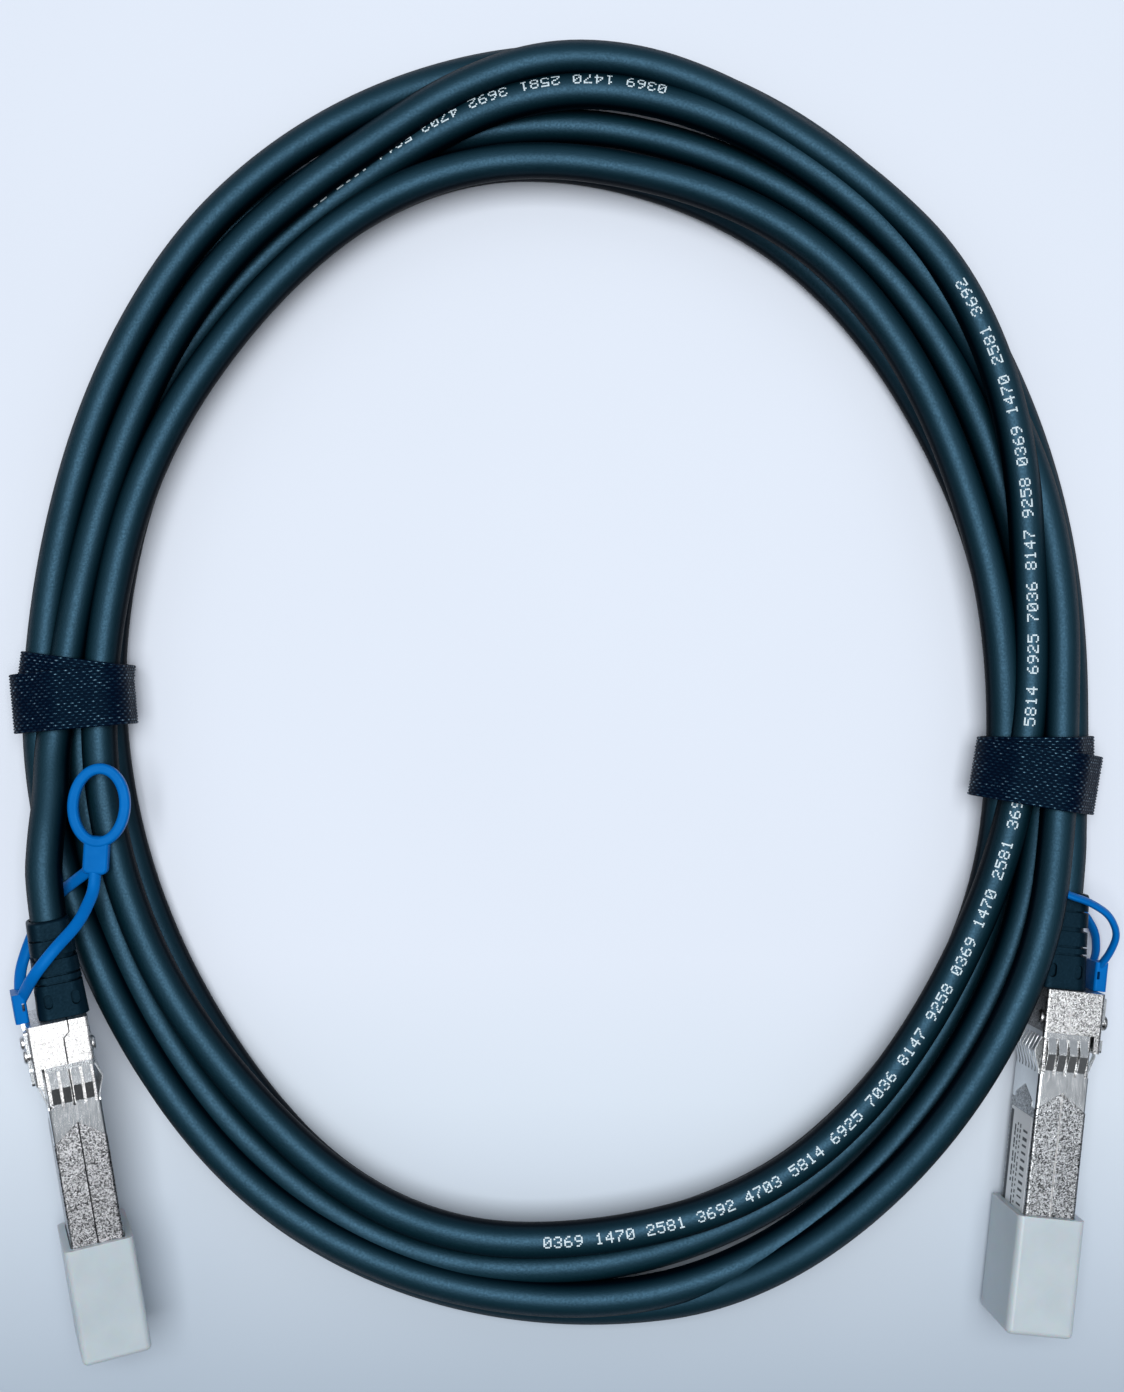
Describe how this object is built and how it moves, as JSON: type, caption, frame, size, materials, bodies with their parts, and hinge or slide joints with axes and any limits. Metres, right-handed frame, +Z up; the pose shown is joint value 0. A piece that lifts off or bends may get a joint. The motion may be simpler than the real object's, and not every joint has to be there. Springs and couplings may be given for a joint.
{
  "type": "direct attach copper cable",
  "caption": "Coiled twinax network cable with a latching metal plug, blue pull tab and dust cap at each end, held by two hook-and-loop straps.",
  "frame": {"origin": "on the table, under the middle of the box round the two plugs, their tabs and the straps", "axes": "+Z up from the table, +X from one plug to the other, +Y from the plugs' mouths towards the coil"},
  "size_m": [0.1868, 0.2216, 0.0227],
  "materials": {
    "casting": "nickel-plated die casting",
    "spring_sheet": "smooth spring sheet",
    "latch_steel": "stamped steel",
    "rivet": "headed pins",
    "tab_rubber": "soft blue plastic",
    "boot_plastic": "soft black moulding",
    "ferrule": "crimped sleeve",
    "pair_foil": "foil-wrapped pairs",
    "board": "green circuit board",
    "gold": "gold plating",
    "chip": "black moulded package",
    "ceramic": "ceramic blocks",
    "label": "bare label plate",
    "cap_plastic": "soft translucent cap",
    "cable_jacket": "matte black jacket",
    "strap_web": "woven hook-and-loop"
  },
  "bodies": {
    "root": {"cable_lead_a": "cable_jacket", "cable_lead_b": "cable_jacket", "cable_coil": "cable_jacket", "strap_left": "strap_web", "strap_right": "strap_web", "upper_shell_a": "casting", "lower_shell_a": "casting", "emi_collar_a": "spring_sheet", "return_spring_a": "latch_steel", "strain_relief_a": "boot_plastic", "crimp_ferrule_a": "ferrule", "twinax_pairs_a": "pair_foil", "paddle_card_a": "board", "contact_pads_a": "gold", "memory_chip_a": "chip", "coupling_capacitors_a": "ceramic", "housing_rivets_a": "rivet", "label_plate_a": "label", "upper_shell_b": "casting", "lower_shell_b": "casting", "emi_collar_b": "spring_sheet", "return_spring_b": "latch_steel", "strain_relief_b": "boot_plastic", "crimp_ferrule_b": "ferrule", "twinax_pairs_b": "pair_foil", "paddle_card_b": "board", "contact_pads_b": "gold", "memory_chip_b": "chip", "coupling_capacitors_b": "ceramic", "housing_rivets_b": "rivet", "label_plate_b": "label"},
    "release_a": {"latch_slider_a": "latch_steel", "pull_tab_a": "tab_rubber"},
    "cap_a": {"dust_cap_a": "cap_plastic"},
    "release_b": {"latch_slider_b": "latch_steel", "pull_tab_b": "tab_rubber"},
    "cap_b": {"dust_cap_b": "cap_plastic"}
  },
  "joints": [
    {"name": "release_a_pull", "type": "slide", "parent": "root", "child": "release_a", "axis": [-0.1421, 0.986, 0.0872], "range_m": [0, 0.0025], "stiffness_N_per_m": 300, "springref_m": -0.002, "deforming": ["return_spring_a"]},
    {"name": "cap_a_pull", "type": "slide", "parent": "root", "child": "cap_a", "axis": [0.1421, -0.986, -0.0872], "range_m": [0, 0.02]},
    {"name": "release_b_pull", "type": "slide", "parent": "root", "child": "release_b", "axis": [0.1097, 0.9937, -0.0209], "range_m": [0, 0.0025], "stiffness_N_per_m": 300, "springref_m": -0.002, "deforming": ["return_spring_b"]},
    {"name": "cap_b_pull", "type": "slide", "parent": "root", "child": "cap_b", "axis": [-0.1097, -0.9937, 0.0209], "range_m": [0, 0.02]}
  ]
}
